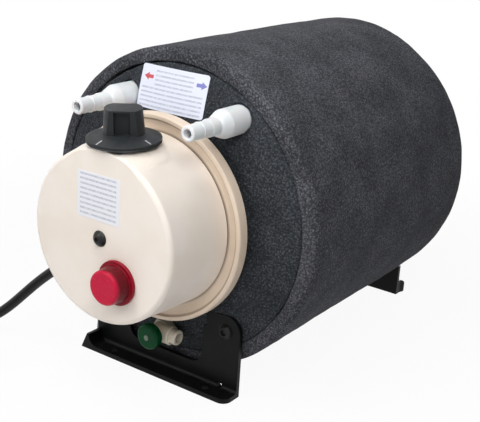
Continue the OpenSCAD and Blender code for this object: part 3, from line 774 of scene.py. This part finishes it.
def round_end(shape):
    """Draws the end in beside the plate, and lowers the lip towards the flange's outer edge."""
    end_x = max(v.co.x for v in shape.verts)
    plate_y = min(v.co.y for v in shape.verts)
    wide = ROUND_TO - ROUND_FROM
    cut_rings(shape, [plate_y + ROUND_FROM + wide*step/ROUND_STEPS for step in range(1, ROUND_STEPS)])
    for vertex in shape.verts:
        x, y, z = vertex.co
        if x < end_x - END_REACH:
            continue
        out = y - plate_y
        drawn = END_IN*ease(x, end_x - END_REACH, end_x - END_FULL)
        vertex.co.x -= drawn*(1 - ease(out, ROUND_FROM, ROUND_TO))
        if out > ROUND_FROM:
            fall = min(1, (out - ROUND_FROM)/wide)
            vertex.co.z = min(z, FLANGE + (LIP_RISE - FLANGE)*math.sqrt(1 - fall*fall))


# Rigid pieces that show: the CAD shapes, and the size in mm of the round on their edges
softened("front_cover", CREAM, 0.6, flat=0.02, shaping=draw_in_edge)
softened("cover_base_ring", TAN, 0.35)
softened("thermostat_knob", KNOB_BLACK, 0.5, "thermostat_control", shaping=square_rim)
softened("lamp_lens", RED_LENS, 0.5)
softened("hot_tail", MILKY, 0.35)
softened("cold_tail", MILKY, 0.35)
softened("drain_body", PALE, 0.4)
softened("drain_knob", GREEN, 0.4, "drain_handle")
softened("front_foot", FOOT_BLACK, 0.5, shaping=lean_end)
softened("rear_foot", FOOT_BLACK, 0.5, shaping=round_end)
softened("foot_spacers", WHITE, 0.3)
softened("foot_washers", BLACK_SCREW, 0.2)
softened("foot_bolts", BLACK_SCREW, 0.25)
softened("cover_screw", BLACK_SCREW, 0.2)
softened("cord_gland", RUBBER, 0.4)


# Valve spring: in the valve it shortens against its seat as the plunger lifts; here it is a copy of the CAD
# spring with a mesh of its own
def make_spring():
    spring = add_piece("valve_spring", merged_copy("drain_spring"), STEEL, crease=70)
    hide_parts("drain_spring")
    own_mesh(spring)


make_spring()

# The CAD nodes that stay as they are, most of them inside the jacket and the cover
KEPT = {
    STEEL: ("tank", "thermowell", "cover_stud", "hot_pickup_tube", "cold_dip_tube", "thermostat_nut",
            "thermostat_spindle", "flange_bolts", "heating_element"),
    BRASS: ("element_plate", "terminal_screws"),
    COPPER: ("thermostat_bulb", "capillary"),
    RUBBER: ("flange_gasket", "cover_seal", "tail_seals", "drain_seal_ring", "drain_disc"),
    WHITE: ("thermostat_body", "terminal_block", "lamp_holder", "lamp_nut"),
    STEM: ("drain_stem",),
    BROWN: ("thermal_cutout", "wire_live"),
    BLUE: ("wire_neutral",),
    EARTH: ("wire_earth",),
}
for finish, kept in KEPT.items():
    for node in kept:
        nodes[node].data.materials.clear()
        nodes[node].data.materials.append(finish.material)


# Labels: thin stock with rounded corners, one on the foam and one on the cover
STICKER = Vector((-3.2, 0, 208.6))*MM
STICKER_SIZE = Vector((57.6, 29))*MM
STICKER_CORNER = 2.0*MM
STICKER_LIFT = 0.75*MM
PLATE = Vector((-1.7, 0, 150.3))*MM
PLATE_SIZE = Vector((36, 31))*MM
PLATE_CORNER = 0.6*MM
STOCK = 0.15*MM
STICKER_STOCK = label_finish(
    "sticker_stock", rgb(219, 223, 238), pitch=2.95, first_row=196,
    blocks=(((-19, 210), (14, 221)), ((-30, 195), (23, 209))),
    arrows=((-25, 215.2, -1, rgb(190, 38, 42)), (20.5, 215.8, 1, rgb(104, 104, 182))))
PLATE_STOCK = label_finish(
    "plate_stock", rgb(229, 230, 236), pitch=3.3, first_row=137.6,
    blocks=(((-17.5, 136.5), (13.5, 164.5)),))


def make_label(name, centre, size, corner, finish, surface_y):
    """A sheet facing the front; surface_y gives where it lies at each point of the picture plane."""
    shape = bmesh.new()
    bmesh.ops.create_grid(shape, x_segments=20, y_segments=10, size=0.5)
    bmesh.ops.scale(shape, vec=(size.x, size.y, 1), verts=shape.verts)
    corners = [v for v in shape.verts if len(v.link_faces) == 1]
    round_off(shape, corners, corner, 4, "VERTICES")
    bmesh.ops.rotate(shape, cent=(0, 0, 0), matrix=Matrix.Rotation(math.pi/2, 3, "X"), verts=shape.verts)
    bmesh.ops.translate(shape, vec=centre, verts=shape.verts)
    for vertex in shape.verts:
        vertex.co.y = surface_y(vertex.co)
    sheet = shape.faces[:]
    bmesh.ops.recalc_face_normals(shape, faces=sheet)
    bmesh.ops.solidify(shape, geom=sheet, thickness=STOCK)
    return add_piece(name, shape, finish, crease=40)


def on_dome(point):
    """Just in front of the domed foam."""
    off = math.hypot(point.x, point.z - axis_z)
    return wrap_low.y - dome_rise + dome_sphere - math.sqrt((dome_sphere + STICKER_LIFT)**2 - off**2)


def on_face(point):
    return face_y - STOCK


make_label("flow_sticker", STICKER, STICKER_SIZE, STICKER_CORNER, STICKER_STOCK, on_dome)
make_label("rating_plate", PLATE, PLATE_SIZE, PLATE_CORNER, PLATE_STOCK, on_face)

# Knob ticks: painted bars on the flared skirt, which turn with the knob
TICK_ANGLES = (-4, -95, -186)
TICK_MIDDLE = 21.4*MM
TICK_SIZE = Vector((5.2, 1.1, 0.3))*MM
TICK_ROUND = 0.1*MM
SKIRT_RISE = 3.05*MM
SKIRT_FALL = math.atan2(3, 10)


def make_ticks():
    """Each bar lies on the skirt's slope, and stands round the knob's leaning axis."""
    joint = joints["thermostat_turn"]
    up = Vector(joint["axis"]).normalized()
    lean = Vector((0, 0, 1)).rotation_difference(up).to_matrix().to_4x4()
    stand = Matrix.Translation(Vector(joint["pos_m"])) @ lean
    lie = Matrix.Translation((TICK_MIDDLE, 0, SKIRT_RISE)) @ Matrix.Rotation(SKIRT_FALL, 4, "Y")
    shape = bmesh.new()
    for angle in TICK_ANGLES:
        bar = bmesh.ops.create_cube(shape, size=1)["verts"]
        bmesh.ops.scale(shape, vec=TICK_SIZE, verts=bar)
        turned = Matrix.Rotation(math.radians(angle), 4, "Z")
        bmesh.ops.transform(shape, matrix=stand @ turned @ lie, verts=bar)
    round_off(shape, shape.edges[:], TICK_ROUND, 2)
    add_piece("knob_ticks", shape, TICK_GREY, "thermostat_control")


make_ticks()


# Floor, world and lamps
FLOOR_HALF = 6
FLOOR_GLOW = 0.94
SHADOW_REACH = (0.25, 0.6)
PAPER_GREY = (0.8, 0.8, 0.8, 1)
PLAIN_WHITE = (1, 1, 1, 1)
AMBIENT = 0.12
LAMP_AIM = Vector((0, -0.05, 0.1))


def make_floor():
    """Pale paper: it takes the object's shadow, and is plain white further out."""
    shape = bmesh.new()
    bmesh.ops.create_grid(shape, x_segments=1, y_segments=1, size=FLOOR_HALF)
    mesh = bpy.data.meshes.new("floor")
    shape.to_mesh(mesh)
    shape.free()
    paper = Finish("floor_paper")
    out = paper.node("VectorMath", {"operation": "LENGTH"}, {0: paper.point()}, "Value")
    glowing = paper.seen_straight()*paper.stretch(out, *SHADOW_REACH, FLOOR_GLOW, 1.0)
    lit = paper.node("BsdfDiffuse", None, {"Color": PAPER_GREY})
    glow = paper.node("Emission", None, {"Color": PLAIN_WHITE, "Strength": 1.0})
    both = paper.node("MixShader", None, {0: glowing, 1: lit, 2: glow})
    paper.feed(paper.tree.nodes["Material Output"].inputs["Surface"], both)
    mesh.materials.append(paper.material)
    floor = bpy.data.objects.new("floor", mesh)
    scene.collection.objects.link(floor)


def make_world():
    """Soft light from all round, white where the camera sees it."""
    world = bpy.data.worlds.new("studio")
    sky = Nodes(world)
    ambient = sky.node("Background", None, {"Color": PLAIN_WHITE, "Strength": AMBIENT})
    white = sky.node("Background", None, {"Color": PLAIN_WHITE, "Strength": 1.0})
    both = sky.node("MixShader", None, {0: sky.seen_straight(), 1: ambient, 2: white})
    sky.node("OutputWorld", None, {"Surface": both})
    scene.world = world


def add_lamp(name, place, size, watts):
    """A round lamp that faces the heater and doesn't show itself."""
    data = bpy.data.lights.new(name, "AREA")
    data.shape = "DISK"
    data.size = size
    data.energy = watts
    lamp = bpy.data.objects.new(name, data)
    lamp.location = place
    lamp.rotation_mode = "QUATERNION"
    lamp.rotation_quaternion = (LAMP_AIM - Vector(place)).to_track_quat("-Z", "Y")
    lamp.visible_camera = False
    scene.collection.objects.link(lamp)


make_floor()
make_world()
add_lamp("top", (-0.1, -0.45, 1.3), 0.7, 7.4)
add_lamp("key", (-0.45, -1.15, 0.9), 0.7, 6.6)
add_lamp("fill", (0.34, -0.48, 0.64), 0.35, 2.4)
add_lamp("behind", (-0.35, 1.25, 0.22), 0.4, 3.6)
scene.view_settings.view_transform = "Standard"
